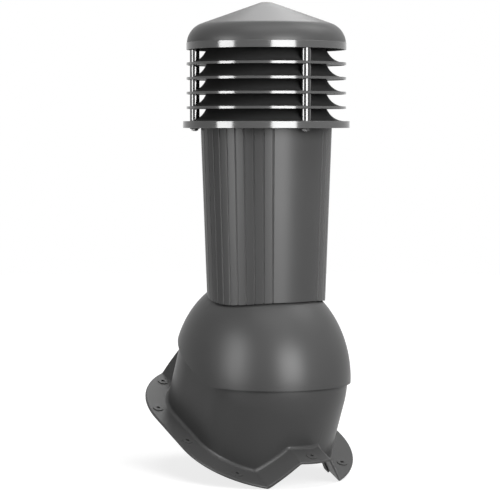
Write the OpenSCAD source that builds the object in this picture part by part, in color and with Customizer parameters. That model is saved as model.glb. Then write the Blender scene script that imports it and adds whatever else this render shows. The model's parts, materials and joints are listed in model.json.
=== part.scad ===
// Roof vent pipe: a roof flange with an upright oval body, a ball-shaped hood that
// turns on it to keep the pipe upright, a ribbed tube round an inner duct, and a
// louvred rain head. Millimetres, +Z up along the pipe, -Y down the slope.
// The origin is the middle of the flange, under its ridge.

/* [Roof flange] */
// Pitch of the roof that the flange lies on, in degrees
roof_pitch = 23.5; // [15:0.5:35]
// Width of the flange, across the slope
flange_w = 271; // [262:1:296]
// Length of the flange, along the slope
flange_l = 358; // [348:1:384]
// Thickness of the flange
flange_t = 4; // [3:0.5:5]
// Height of the ridge for the crest of the roof tile
ridge_rise = 44.5; // [30:0.5:50]
// Width of the ridge at its foot
ridge_foot_w = 120; // [96:1:124]
// Width of the ridge at its top
ridge_top_w = 48; // [36:1:60]
// Distance of the screw line from the flange's edge
screw_inset = 15.5; // [13:0.5:16.5]
// Diameter of a screw hole
screw_hole_d = 5.5; // [4:0.5:7]
// Diameter of the shallow seat round a screw hole
screw_seat_d = 16; // [12:1:18]
// Depth of that seat
screw_seat_deep = 1; // [0.5:0.25:1.5]
// Place of the front side screws, down the slope from the middle
side_screw_front = 28; // [15:1:38]
// Place of the rear side screws, up the slope from the middle
side_screw_rear = 65; // [45:1:78]
// Angle of the front corner screws from straight down the slope
front_screw_angle = 48.5; // [40:0.5:56]
// Angle of the rear corner screws from straight up the slope
rear_screw_angle = 38; // [37:1:56]
// Thickness of the roof seal
seal_t = 3; // [2:0.5:5]
// Width of the roof seal
seal_w = 10; // [8:1:12]

/* [Base body] */
// Width of the upright body, across the slope
body_w = 209; // [205:1:212]
// Length of the upright body, along the slope
body_l = 284; // [278:1:286]
// Wall of the body
wall = 3; // [2.5:0.25:3.5]
// Radius of the fillet at the body's foot
foot_fillet = 7; // [4:0.5:9]
// Height of the hood's pivot above the flange's underside
pivot_h = 88.5; // [86:0.5:96]

/* [Hood] */
// Radius of the hood round its pivot axis
hood_r = 148.5; // [147:0.5:152]
// Half width of the hood along its pivot axis
hood_half_w = 117.4; // [114:0.1:119]
// Fullness of the hood's profile, where 2 is an ellipse
hood_full = 2.15; // [2:0.05:2.4]
// Wall of the hood
hood_wall = 3; // [2.5:0.25:3.5]
// Gap between the hood and the dome that it turns on
dome_gap = 1.5; // [1:0.1:2]
// Pitch that the hood's rear rim is trimmed for, in degrees
trim_pitch = 25; // [23:1:27]
// Height of the rear rim above the pivot, square to the roof
rear_rim_h = 12.2; // [10:0.1:15]
// Height of the level front rim, from the pivot
front_rim_h = -6.5; // [-10:0.1:-2]
// How far the pipe stands in front of the pivot
pipe_offset = 14.4; // [12:0.1:17]
// Diameter of a pivot pin
pin_d = 10; // [8:0.5:12]
// Running clearance of a pivot pin, on the radius
pin_clear = 0.06; // [0.04:0.01:0.1]

/* [Tube and duct] */
// Outer radius of the tube at its foot
tube_foot_r = 86; // [84:0.5:87]
// Outer radius of the tube at its top
tube_top_r = 95.1; // [93:0.1:96]
// Height of the tube's top above the pivot
tube_top_h = 366; // [330:1:400]
// Height above the pivot where the foot radius is measured
tube_foot_h = 115; // [110:1:120]
// Wall of the tube
tube_wall = 2.5; // [2:0.25:2.5]
// Gap between the tube's foot and the hood
tube_gap = 3; // [2:0.25:4]
// Angle from one groove of the tube to the next
groove_step = 8.5; // [7.5:0.25:10]
// Half angle of the smooth panels in front and behind
smooth_half = 26; // [20:1:34]
// Width of a groove
groove_w = 2.6; // [2:0.1:3]
// Depth of a groove at the top of the tube
groove_deep = 1.4; // [1:0.1:1.5]
// Depth of a groove at the tube's foot
groove_shallow = 0.35; // [0.2:0.05:0.6]
// Outer diameter of the inner pipe
duct_d = 150; // [146:1:152]
// Wall of the inner pipe
duct_wall = 2.5; // [2:0.25:3]
// How far the inner pipe hangs below the pivot
duct_low = 20; // [10:1:30]

/* [Head] */
// Radius of the head ring
ring_r = 120.6; // [118:0.2:124]
// Thickness of the head ring's rim
ring_t = 10; // [8:0.5:12]
// Radius of the louvre rings
louvre_r = 115.4; // [113:0.2:117]
// Thickness of a louvre's edge
louvre_edge = 3.5; // [3:0.1:4]
// Height from one louvre to the next
louvre_pitch = 21; // [19:0.25:23]
// Width of the flat rim of a louvre
louvre_flat = 2; // [1:0.5:3]
// Radius of the curve from a louvre's rim into its flare
flare_curve = 28; // [26:0.5:31]
// Slope of a louvre's flare at its inner edge, in degrees
flare_slope = 62; // [56:1:66]
// Wall of a louvre's flare
flare_wall = 2.5; // [2:0.25:3]
// Radius of the circle that the posts stand on
post_circle_r = 103.5; // [102:0.1:105]
// Diameter of a post sleeve
post_d = 14; // [12:0.5:15]
// Diameter of a tie rod
rod_d = 6; // [5:0.5:6]
// Radius of the cap at its rim
cap_r = 115.6; // [114:0.2:118]
// Height of the cap's rim band
cap_band = 10; // [8:0.5:12]
// Radius of the cap's rounded shoulder
cap_shoulder = 31.5; // [28:0.5:36]
// Slope of the cap's cone, in degrees
cap_slope = 19.5; // [17:0.5:24]
// Radius of the flat tip of the cap
cap_tip_r = 7.5; // [5:0.5:12]
// Wall of the cap
cap_wall = 3; // [2.5:0.25:3.5]

/* [Hidden] */
$fn = 96;

graphite = [0.24, 0.24, 0.25];
satin = [0.30, 0.30, 0.31];
dark = [0.10, 0.10, 0.11];
foam = [0.55, 0.55, 0.52];
steel = [0.62, 0.63, 0.65];
duct_grey = [0.45, 0.46, 0.48];

eps = 0.01;
far = 400;

// Flange
flange_r = flange_w / 2;
flange_half = flange_l / 2 - flange_r;
screw_r = flange_r - screw_inset;
edge_land = 0.4;
edge_round = (flange_t - edge_land) / 2;
// How much further out the top of the ridge's plate runs than its underside
ridge_step = 1.6;

// Body
body_r = body_w / 2;
body_half = body_l / 2 - body_r;
dome_r = hood_r - hood_wall - dome_gap;
dome_half_w = hood_half_w - hood_wall - dome_gap;
// The dome's top edge slopes: it stands 99 above the pivot in front, 50 behind
dome_front_h = 99;
dome_rear_h = 50;
dome_front_d = sqrt(dome_r * dome_r - dome_front_h * dome_front_h);
dome_rear_d = sqrt(dome_r * dome_r - dome_rear_h * dome_rear_h);
dome_cut_angle = atan((dome_front_h - dome_rear_h) / (dome_front_d + dome_rear_d));
dome_cut_mid = dome_rear_h + dome_rear_d * tan(dome_cut_angle);

// Pivot: a pin's head, the hood's arm and the body's boss lie side by side
arm_in = 88.5;
arm_t = 5;
arm_w = 26;
arm_gap = 2;
arm_boss_r = 13;
pin_gap = 0.3;
pin_head_t = 3;
pin_head_r = 8;
pin_seat = 6.5;
pin_boss_r = 10;
boss_in = arm_in + arm_t + arm_gap;
// The notch that lets an arm swing past the top of the body's side wall
notch_r = 66;
notch_gap = 4;
notch_in = arm_in - notch_gap;
notch_from = -6;
notch_to = 62;

// Foam strips on the dome: their angles run round the pivot from the roof's plane
strip_t = 1.1;
strip_half_w = 70;
strip_arc_angle = 3;
strip_front_angle = 39.5;
strip_rear_angle = 16;

// Tube
taper = (tube_top_r - tube_foot_r) / (tube_top_h - tube_foot_h);
// Height inside the hood's ball that the tube and the neck are drawn from before it trims them
trim_h = 60;
// How far the groove cutters reach past the tube
groove_reach = 40;
neck_seat_h = 141;
neck_seat_band = 9;
neck_top_h = neck_seat_h + neck_seat_band;
neck_fit = 0.4;
neck_wall = 3.2;
duct_r = duct_d / 2;
neck_bore_r = tube_foot_r - tube_wall - neck_fit - neck_wall;
seal_h = 14;
seal_drop = 2;
seal_high = neck_seat_h - seal_drop;
seal_low = seal_high - seal_h;
insulation_gap = 0.3;
skirt_h = 16;
skirt_wall = 3;
skirt_fit = 0.4;
// How deep the tube's top stands in the head ring, and the gap above it
tube_in_ring = 5.7;
tube_rest = 0.3;
ring_plate = 4;
skirt_foot_r = tube_r(tube_top_h - tube_in_ring - skirt_h) - tube_wall - skirt_fit;

// Head: heights are above the pivot
ring_low = tube_top_h - tube_in_ring;
ring_top = ring_low + ring_t;
// The underside of the lowest louvre's rim; the cap's rim stands a little over the pitch
first_louvre = ring_top + louvre_pitch - louvre_edge;
cap_lift = 1.25;
pad_h = 6;
rim_wall = 3;
duct_gap = 2;
duct_proud = 4;
duct_top = ring_top + duct_proud;
flare_foot_r = louvre_r - louvre_flat;
// How far a flare stands above the next louvre's rim
flare_lap = 3;
flare_rise = louvre_pitch + flare_lap;
rod_clear = 0.2;
rod_r = rod_d / 2;
rod_hole_r = rod_r + rod_clear;
// The ring that centres the inner pipe, just under the head ring's skirt
centring_t = 8;
centring_gap = 1;
centring_top = ring_low - skirt_h - centring_gap;
centring_low = centring_top - centring_t;
// The cap: a fine crease over its band, where the shoulder starts a little further in
cap_crease = 0.6;
cap_step = 2;
cap_tip_rise = 0.4;
cap_low = first_louvre + 4 * louvre_pitch + cap_lift;
// The bosses in the cap hang down to a little above its rim and hold the rods' ends
boss_lift = 7;
boss_low = cap_low + boss_lift;
rod_grip = 14;
rod_top = boss_low + rod_grip;
washer_t = 1.5;
nut_t = 2.2;
nut_across = 10;
rod_end = 0.8;

// Outer radius of the tube at a height above the pivot
function tube_r(h) = tube_foot_r + (h - tube_foot_h) * taper;

// Half of a rounded profile: a superellipse from one pole to the other
function ball_points(r, half, steps) = [
    for (i = [0:steps])
        let (a = -90 + 180 * i / steps, c = cos(a), s = sin(a))
        [r * pow(abs(c), 2 / hood_full), half * sign(s) * pow(abs(s), 2 / hood_full)]
];

// Puts a shape that is drawn on the flange's underside in its place on the roof
module on_roof() {
    rotate([roof_pitch, 0, 0]) translate([0, 0, -ridge_rise]) children();
}

// Puts a shape that is drawn from the pivot in its place
module from_pivot() {
    rotate([roof_pitch, 0, 0]) translate([0, 0, pivot_h - ridge_rise])
        rotate([-roof_pitch, 0, 0]) children();
}

// Puts a shape that is drawn on the pipe's axis in its place
module on_pipe() {
    from_pivot() translate([0, -pipe_offset, 0]) children();
}

// A ball-like solid of revolution round the pivot axis, which is X
module ball(r, half) {
    rotate([0, 90, 0]) rotate_extrude() polygon(ball_points(r, half, 30));
}

// An upright oval prism with its long side along the slope
module oval(r, half, low, high) {
    for (s = [-1, 1]) translate([0, s * half, low]) cylinder(r = r, h = high - low);
    translate([-r, -half, low]) cube([2 * r, 2 * half, high - low]);
}

// Sweeps a profile round an oval: x is the distance from the centre line, y the height
module oval_sweep(half) {
    for (s = [0, 180])
        rotate([0, 0, s]) {
            translate([0, half, 0]) rotate_extrude(angle = 180) children();
            rotate([90, 0, 0]) translate([0, 0, -half]) linear_extrude(2 * half) children();
        }
}

// Outline of the ridge from below, from valley to valley
module ridge_outline(low, top_gap, wide) {
    polygon([
        [-wide, low], [-wide, top_gap], [-ridge_foot_w / 2, top_gap],
        [-ridge_top_w / 2, ridge_rise + top_gap], [ridge_top_w / 2, ridge_rise + top_gap],
        [ridge_foot_w / 2, top_gap], [wide, top_gap], [wide, low]
    ]);
}

// Everything under the flange, where the roof tile lies
module tile_space(top_gap = 0) {
    rotate([90, 0, 0]) translate([0, 0, -far / 2])
        linear_extrude(far) ridge_outline(-far / 2, top_gap, far / 2);
}

// Places of the ten screws, as [x, y, height of the flange's top]
valley_top = flange_t;
crest_top = ridge_rise + flange_t;
screws = [
    for (s = [-1, 1]) each [
        [s * screw_r, -side_screw_front, valley_top],
        [s * screw_r, side_screw_rear, valley_top],
        [s * screw_r * sin(front_screw_angle), -flange_half - screw_r * cos(front_screw_angle), valley_top],
        [s * screw_r * sin(rear_screw_angle), flange_half + screw_r * cos(rear_screw_angle), valley_top],
        [0, s * (flange_half + screw_r), crest_top]
    ]
];

module base_body() {
    color(graphite) on_roof() difference() {
        union() {
            difference() {
                body_outside();
                body_inside();
            }
            pin_bosses();
        }
        tile_space();
        screw_holes();
        pin_holes();
        dome_top_cut();
        arm_notches();
    }
}

// Flange, ridge, walls and their rounded foot, still filled
module body_outside() {
    flange_plate();
    ridge_plate();
    body_walls();
    body_foot(valley_top);
    intersection() {
        body_foot(crest_top);
        translate([-ridge_top_w / 2, -far / 2, 0]) cube([ridge_top_w, far, far / 2]);
    }
}

// The level plate of the flange, with a rounded edge
module flange_plate() {
    oval_sweep(flange_half) polygon([
        [body_r - wall, 0],
        [flange_r - edge_round, 0], [flange_r, edge_round],
        [flange_r, flange_t - edge_round], [flange_r - edge_round, flange_t],
        [body_r - wall, flange_t]
    ]);
}

// The sloping and level plates of the ridge
module ridge_plate() {
    foot = ridge_foot_w / 2 + ridge_step;
    top = ridge_top_w / 2 + ridge_step;
    intersection() {
        rotate([90, 0, 0]) translate([0, 0, -far / 2]) linear_extrude(far) polygon([
            [-foot, 0], [-foot, flange_t], [-top, crest_top],
            [top, crest_top], [foot, flange_t], [foot, 0]
        ]);
        oval(flange_r, flange_half, -eps, far / 2);
    }
}

// Upright walls up to the pivot, and above it the dome that the hood turns on
module body_walls() {
    oval(body_r, body_half, 0, pivot_h);
    intersection() {
        oval(body_r, body_half, pivot_h, pivot_h + dome_r);
        translate([0, 0, pivot_h]) ball(dome_r, dome_half_w);
    }
}

module body_inside() {
    oval(body_r - wall, body_half, -far / 2, pivot_h);
    intersection() {
        oval(body_r - wall, body_half, pivot_h, pivot_h + dome_r);
        translate([0, 0, pivot_h]) ball(dome_r - wall, dome_half_w - wall);
    }
}

// The rounded foot where the walls meet the flange at height z
module body_foot(z) {
    oval_sweep(body_half) polygon(concat(
        [[body_r - wall / 2, z - 1], [body_r + foot_fillet, z - 1]],
        [for (a = [-90:-15:-180]) [body_r + foot_fillet, z + foot_fillet] + foot_fillet * [cos(a), sin(a)]],
        [[body_r - wall / 2, z + foot_fillet]]
    ));
}

module pin_bosses() {
    for (s = [-1, 1]) intersection() {
        translate([0, 0, pivot_h]) rotate([0, s * 90, 0])
            translate([0, 0, boss_in]) cylinder(r = pin_boss_r, h = body_r - boss_in);
        oval(body_r, body_half, 0, pivot_h * 2);
    }
}

module pin_holes() {
    for (s = [-1, 1]) translate([0, 0, pivot_h]) rotate([0, s * 90, 0])
        translate([0, 0, boss_in - eps]) cylinder(d = pin_d, h = pin_seat + eps);
}

module screw_holes() {
    for (p = screws) translate([p[0], p[1], p[2]]) {
        translate([0, 0, -flange_t - 1]) cylinder(d = screw_hole_d, h = flange_t + 2);
        translate([0, 0, -screw_seat_deep]) cylinder(d = screw_seat_d, h = screw_seat_deep + 1);
    }
}

module dome_top_cut() {
    translate([0, 0, pivot_h + dome_cut_mid]) rotate([-dome_cut_angle, 0, 0])
        translate([-far / 2, -far / 2, 0]) cube([far, far, far / 2]);
}

module arm_notches() {
    for (s = [-1, 1]) translate([0, 0, pivot_h]) rotate([0, s * 90, 0])
        translate([0, 0, notch_in])
            rotate([0, 0, s > 0 ? 180 - notch_to : notch_from])
                rotate_extrude(angle = notch_to - notch_from)
                    translate([notch_r, 0]) square([dome_r, body_r]);
}

module roof_seal() {
    color(dark) on_roof() difference() {
        intersection() {
            difference() {
                oval(body_r + seal_w, body_half, -seal_t, crest_top);
                oval(body_r, body_half, -far, far);
            }
            tile_space();
        }
        translate([0, 0, -seal_t]) tile_space();
    }
}

// A headed pin, pressed into the body's boss; s is 1 on the right and -1 on the left
module pivot_pin(s) {
    color(steel) from_pivot() rotate([0, s * 90, 0]) {
        translate([0, 0, arm_in - pin_gap - pin_head_t]) cylinder(r = pin_head_r, h = pin_head_t);
        translate([0, 0, arm_in - pin_gap]) cylinder(d = pin_d, h = boss_in + pin_seat - arm_in + pin_gap);
    }
}

// Foam strips on the dome, one in front and one behind, that wipe the hood's inside
module weather_strips() {
    color(foam) on_roof() translate([0, 0, pivot_h])
        for (a = [180 - strip_rear_angle - strip_arc_angle, strip_front_angle])
        intersection() {
            difference() {
                ball(dome_r + strip_t, dome_half_w + strip_t);
                ball(dome_r, dome_half_w);
            }
            strip_sector(a);
        }
}

// A wedge round the pivot axis that starts at angle a above straight down the slope
module strip_sector(a) {
    rotate([-a - strip_arc_angle, 0, 0]) rotate([0, 90, 0]) rotate([0, 0, -90])
        translate([0, 0, -strip_half_w]) rotate_extrude(angle = strip_arc_angle)
            translate([dome_r / 2, 0]) square([dome_r, 2 * strip_half_w]);
}

module hood() {
    color(satin) from_pivot() difference() {
        union() {
            difference() {
                ball(hood_r, hood_half_w);
                ball(hood_r - hood_wall, hood_half_w - hood_wall);
                hood_trim();
            }
            neck();
            hood_arms();
        }
        translate([0, -pipe_offset, 0]) cylinder(r = neck_bore_r, h = hood_r + neck_top_h);
        for (s = [-1, 1]) rotate([0, s * 90, 0])
            translate([0, 0, arm_in - 1]) cylinder(r = pin_d / 2 + pin_clear, h = arm_t + 2);
    }
}

// What the hood's rim is trimmed by: level in front, parallel to the roof behind
module hood_trim() {
    translate([-far / 2, -far / 2, -far]) cube([far, far, far + front_rim_h]);
    rotate([trim_pitch, 0, 0])
        translate([-far / 2, -far, -far]) cube([far, 2 * far, far + rear_rim_h]);
}

// The neck that the tube stands round; its top grips the tube's tapered bore
module neck() {
    difference() {
        translate([0, -pipe_offset, 0]) rotate_extrude() polygon([
            [neck_bore_r - 1, trim_h], [tube_r(trim_h) - tube_wall - neck_fit, trim_h],
            [tube_r(neck_seat_h) - tube_wall - neck_fit, neck_seat_h],
            [tube_r(neck_seat_h) - tube_wall, neck_seat_h],
            [tube_r(neck_top_h) - tube_wall, neck_top_h], [neck_bore_r - 1, neck_top_h]
        ]);
        ball(hood_r - hood_wall, hood_half_w - hood_wall);
    }
}

// Two arms inside the hood, down to the pivot pins
module hood_arms() {
    intersection() {
        for (s = [-1, 1]) rotate([0, s * 90, 0]) translate([0, 0, arm_in]) {
            cylinder(r = arm_boss_r, h = arm_t);
            rotate([0, 0, s > 0 ? 180 : 0]) translate([0, -arm_w / 2, 0]) cube([hood_r, arm_w, arm_t]);
        }
        ball(hood_r - hood_wall / 2, hood_half_w - hood_wall / 2);
    }
}

module outer_tube() {
    color(graphite) on_pipe() difference() {
        rotate_extrude() polygon([
            [tube_r(trim_h) - tube_wall, trim_h], [tube_r(trim_h), trim_h],
            [tube_top_r, tube_top_h], [tube_top_r - tube_wall, tube_top_h]
        ]);
        translate([0, pipe_offset, 0]) ball(hood_r + tube_gap, hood_half_w + tube_gap);
        tube_grooves();
    }
}

// Grooves down both sides of the tube, deeper at the top, between smooth panels
module tube_grooves() {
    count = floor((180 - 2 * smooth_half) / groove_step);
    start = 90 - count * groove_step / 2;
    lean = atan((tube_top_r - tube_foot_r - groove_deep + groove_shallow) / (tube_top_h - tube_foot_h));
    for (side = [0, 180], i = [0:count])
        rotate([0, 0, side + start - 90 + i * groove_step])
            translate([tube_foot_r - groove_shallow, 0, tube_foot_h]) rotate([0, lean, 0])
                translate([0, -groove_w / 2, -groove_reach])
                    cube([groove_reach, groove_w, tube_top_h - tube_foot_h + 2 * groove_reach]);
}

module inner_pipe() {
    color(duct_grey) on_pipe() difference() {
        translate([0, 0, -duct_low]) cylinder(r = duct_r, h = duct_top + duct_low);
        translate([0, 0, -duct_low - 1]) cylinder(r = duct_r - duct_wall, h = duct_top + duct_low + 2);
    }
}

module tube_ring(inner, outer, low, high) {
    difference() {
        translate([0, 0, low]) cylinder(r = outer, h = high - low);
        translate([0, 0, low - 1]) cylinder(r = inner, h = high - low + 2);
    }
}

module pipe_seal() {
    color(dark) on_pipe() tube_ring(duct_r, neck_bore_r, seal_low, seal_high);
}

// Fills the space round the inner pipe from the neck up to the centring ring
module insulation() {
    color(foam) on_pipe() rotate_extrude() polygon([
        [duct_r + insulation_gap, neck_top_h],
        [tube_r(neck_top_h) - tube_wall - insulation_gap, neck_top_h],
        [tube_r(centring_low) - tube_wall - insulation_gap, centring_low],
        [duct_r + insulation_gap, centring_low]
    ]);
}

module centring_ring() {
    color(dark) on_pipe() rotate_extrude() polygon([
        [duct_r, centring_low], [tube_r(centring_low) - tube_wall, centring_low],
        [tube_r(centring_top) - tube_wall, centring_top], [duct_r, centring_top]
    ]);
}

// Angles of the three posts, one of them straight down the slope
post_angles = [-90, 30, 150];
module at_posts() {
    for (a = post_angles) rotate([0, 0, a]) translate([post_circle_r, 0, 0]) children();
}

// Line of a flare up from its foot to its inner edge: a curve and a straight cone.
// depth moves it inwards, for the underside
function flare_line(z, depth) =
    let (c = [flare_foot_r, z + flare_curve], r = flare_curve + depth,
         straight = (flare_rise - flare_curve * (1 - cos(flare_slope))) / sin(flare_slope),
         last = c - r * [sin(flare_slope), cos(flare_slope)])
    concat(
        [for (i = [0:5]) c - r * [sin(flare_slope * i / 6), cos(flare_slope * i / 6)]],
        [last, last + straight * [-cos(flare_slope), sin(flare_slope)]]
    );

function turned(points) = [for (i = [len(points) - 1:-1:0]) points[i]];

// A ring with a flat rim and a flare; z is the top of the rim, edge its height, lip its width
function flared_ring(rim, z, edge, lip) = concat(
    [[rim - lip, z - edge], [rim, z - edge], [rim, z]],
    flare_line(z, 0),
    turned(flare_line(z, flare_wall)),
    [if (rim - lip > flare_foot_r) [rim - lip, z - flare_wall]]
);

// Top plate, rim and flare over a hollow underside, and a skirt inside the tube's top
module head_ring() {
    color(satin) on_pipe() difference() {
        union() {
            rotate_extrude() polygon(flared_ring(ring_r, ring_top, ring_t, rim_wall));
            rotate_extrude() polygon([
                [duct_r + duct_gap, ring_top - ring_plate], [duct_r + duct_gap, ring_top],
                [flare_foot_r, ring_top], [flare_foot_r, ring_top - ring_plate],
                [tube_top_r + skirt_fit + skirt_wall, ring_top - ring_plate],
                [tube_top_r + skirt_fit + skirt_wall, ring_low], [tube_top_r + skirt_fit, ring_low],
                [tube_top_r + skirt_fit, tube_top_h + tube_rest],
                [tube_top_r - tube_wall - skirt_fit, tube_top_h + tube_rest],
                [skirt_foot_r, ring_low - skirt_h], [skirt_foot_r - skirt_wall, ring_low - skirt_h],
                [tube_top_r - tube_wall - skirt_fit - skirt_wall, ring_top - ring_plate]
            ]);
            at_posts() translate([0, 0, ring_low]) cylinder(d = post_d, h = ring_t + pad_h);
        }
        at_posts() translate([0, 0, ring_low - 1]) cylinder(r = rod_hole_r, h = ring_t + pad_h + 3);
    }
}

// Louvre n counts from below
module louvre(n) {
    z = first_louvre + (n - 1) * louvre_pitch + louvre_edge;
    color(graphite) on_pipe() difference() {
        union() {
            rotate_extrude() polygon(flared_ring(louvre_r, z, louvre_edge, louvre_flat));
            at_posts() translate([0, 0, z - louvre_edge]) cylinder(d = post_d, h = louvre_edge + pad_h);
        }
        at_posts() translate([0, 0, z - louvre_edge - 1])
            cylinder(r = rod_hole_r, h = louvre_edge + pad_h + 2);
    }
}

// Sleeves of tier n: from the pad below up to the ring above, or to the cap's bosses
module sleeves(n) {
    low = n == 1 ? ring_top + pad_h : first_louvre + (n - 2) * louvre_pitch + louvre_edge + pad_h;
    high = n == 5 ? boss_low : first_louvre + (n - 1) * louvre_pitch;
    color(steel) on_pipe() at_posts() tube_ring(rod_hole_r, post_d / 2, low, high);
}

// Outline of the cap from rim to tip; inset moves it inwards for the inner face
function cap_line(inset) =
    let (zc = cap_low + cap_band - cap_step, rc = cap_r - cap_crease - cap_shoulder,
         rho = cap_shoulder - inset, first = asin(cap_step / cap_shoulder), last = 90 - cap_slope,
         top = zc + rho * sin(last), edge = rc + rho * cos(last),
         tip = top + (edge - cap_tip_r) * tan(cap_slope))
    concat(
        [for (i = [0:8]) let (a = first + i / 8 * (last - first))
            [rc + rho * cos(a), zc + rho * sin(a)]],
        [[cap_tip_r, tip], [0, tip + cap_tip_rise]]
    );

module cap() {
    color(graphite) on_pipe() difference() {
        union() {
            rotate_extrude() polygon(concat(
                [[cap_r - cap_wall, cap_low], [cap_r, cap_low], [cap_r, cap_low + cap_band]],
                cap_line(0), turned(cap_line(cap_wall))
            ));
            intersection() {
                at_posts() translate([0, 0, boss_low]) cylinder(d = post_d, h = cap_shoulder);
                rotate_extrude() polygon(concat(
                    [[0, cap_low], [cap_r - cap_wall, cap_low]], cap_line(cap_wall / 2)
                ));
            }
        }
        at_posts() translate([0, 0, boss_low - 1]) cylinder(r = rod_r, h = rod_top - boss_low + 1);
    }
}

module tie_rods() {
    color(steel) on_pipe() at_posts() translate([0, 0, ring_low - washer_t - nut_t - rod_end])
        cylinder(r = rod_r, h = rod_top - ring_low + washer_t + nut_t + rod_end);
}

module rod_washers() {
    color(dark) on_pipe() at_posts() tube_ring(rod_hole_r, post_d / 2, ring_low - washer_t, ring_low);
}

module rod_nuts() {
    color(steel) on_pipe() at_posts() difference() {
        translate([0, 0, ring_low - washer_t - nut_t])
            cylinder(d = nut_across / cos(30), h = nut_t, $fn = 6);
        translate([0, 0, ring_low - washer_t - nut_t - 1]) cylinder(r = rod_r, h = nut_t + 2);
    }
}

base_body();
roof_seal();
pivot_pin(-1);  // pivot_pin_left
pivot_pin(1);  // pivot_pin_right
weather_strips();
hood();
outer_tube();
inner_pipe();
pipe_seal();
insulation();
centring_ring();
head_ring();
for (n = [1:4]) louvre(n);
for (n = [1:5]) sleeves(n);
cap();
tie_rods();
rod_washers();
rod_nuts();
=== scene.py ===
# %% [markdown]
# # A roof vent pipe, piece by piece
# This script dresses the construction model of a roof vent pipe for its portrait: a flange with
# an upright oval body, a ball-shaped hood that tilts on it, a ribbed tube round an inner duct,
# and a rain head of flared louvres under a cap. Nearly every piece is a form that a lathe or a
# sweep could make, so most cells draw a short outline and let one mesh operator carry it round.

# %% Load the frame
import json
from math import asin, atan2, cos, hypot, pi, radians, sin, sqrt, tan

import bpy
import bmesh
from mathutils import Matrix, Vector

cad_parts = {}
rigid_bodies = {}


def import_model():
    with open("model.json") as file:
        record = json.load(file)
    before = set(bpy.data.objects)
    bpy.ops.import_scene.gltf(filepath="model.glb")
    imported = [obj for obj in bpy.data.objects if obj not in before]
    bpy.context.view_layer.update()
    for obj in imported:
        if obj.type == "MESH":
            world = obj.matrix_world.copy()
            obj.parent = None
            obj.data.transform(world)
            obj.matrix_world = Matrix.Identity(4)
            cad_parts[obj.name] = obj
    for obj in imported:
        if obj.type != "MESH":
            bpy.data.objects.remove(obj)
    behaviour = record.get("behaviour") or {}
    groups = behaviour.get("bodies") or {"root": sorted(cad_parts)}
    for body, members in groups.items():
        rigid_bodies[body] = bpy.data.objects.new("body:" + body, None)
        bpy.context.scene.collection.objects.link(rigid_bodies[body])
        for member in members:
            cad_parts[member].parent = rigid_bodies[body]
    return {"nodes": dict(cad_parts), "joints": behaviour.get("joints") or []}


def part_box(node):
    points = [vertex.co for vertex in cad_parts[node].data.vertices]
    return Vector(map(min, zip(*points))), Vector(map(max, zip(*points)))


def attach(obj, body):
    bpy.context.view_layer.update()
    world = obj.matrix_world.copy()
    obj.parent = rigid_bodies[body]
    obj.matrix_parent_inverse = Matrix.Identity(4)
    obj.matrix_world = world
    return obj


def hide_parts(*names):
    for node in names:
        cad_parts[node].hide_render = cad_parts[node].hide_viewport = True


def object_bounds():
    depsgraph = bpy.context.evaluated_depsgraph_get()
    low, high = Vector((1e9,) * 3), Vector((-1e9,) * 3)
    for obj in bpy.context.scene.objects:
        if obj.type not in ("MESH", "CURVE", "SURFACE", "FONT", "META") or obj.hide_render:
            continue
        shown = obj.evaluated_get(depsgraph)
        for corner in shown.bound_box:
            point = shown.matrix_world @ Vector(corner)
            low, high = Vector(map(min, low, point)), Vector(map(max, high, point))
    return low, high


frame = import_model()
cad_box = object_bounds()

# %% [markdown]
# The frame already says where the two axes of the object lie, so they are read from it. The
# pivot is where the hood tilts, across the slope. The pipe's axis is upright and stands a
# little in front of the pivot. Heights on the pipe are measured from the pivot.

# %% Axes and main sizes
MM = 0.001
joints = {joint["name"]: joint for joint in frame["joints"]}
pivot = Vector(joints["hood_tilt"]["pos_m"])
duct_low, duct_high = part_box("inner_pipe")
pipe_foot = Vector((0, (duct_low.y + duct_high.y) / 2, pivot.z))
roof_pitch = radians(23.5)
print("pivot", tuple(pivot), "pipe axis at y =", round(pipe_foot.y, 5))

# %% [markdown]
# ## The camera
# The photograph was taken with a long lens from about three metres, a little to the left of the
# pipe and level with the head's lower ring, looking slightly down. Seen along the slope the
# object is turned 32 degrees, so the camera stands to the left of straight down the slope.

# %% Camera
photo_width = 500
focal_pixels = 2060
camera_turn = radians(-32)
camera_pitch = radians(3.44)
camera_distance = 2.987
camera_left = 0.0236
camera_height = pivot.z + 368.7 * MM

camera_data = bpy.data.cameras.new("camera")
camera_data.sensor_width = 36
camera_data.lens = camera_data.sensor_width * focal_pixels / photo_width
camera = bpy.data.objects.new("camera", camera_data)
bpy.context.scene.collection.objects.link(camera)
look = Vector((-sin(camera_turn), cos(camera_turn), 0))
side = Vector((cos(camera_turn), sin(camera_turn), 0))
camera.location = Vector((0, pipe_foot.y, camera_height)) - look * camera_distance - side * camera_left
camera.rotation_euler = (pi / 2 - camera_pitch, 0, camera_turn)
bpy.context.scene.camera = camera
bpy.context.scene.view_settings.view_transform = "Standard"
print("lens", round(camera_data.lens, 1), "mm, camera at", tuple(round(x, 3) for x in camera.location))

# %% [markdown]
# ## Materials
# The whole object is one dark graphite plastic, but it has two finishes. The large skins come
# from a mould with a fine matt grain. The rims of the louvres, the head ring and the sleeves
# come from a polished mould and throw back the lamps like a mirror. The grooves and the throats
# of the louvres lie in the shade, and that shade is painted on them as a darker plastic. One
# function makes them all. It takes the roughness, the refractive index, which says how strongly
# they reflect, and the grain.

# %% A plastic with a moulded grain
patch_scale = 9
grain_height = 0.05 * MM


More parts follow.
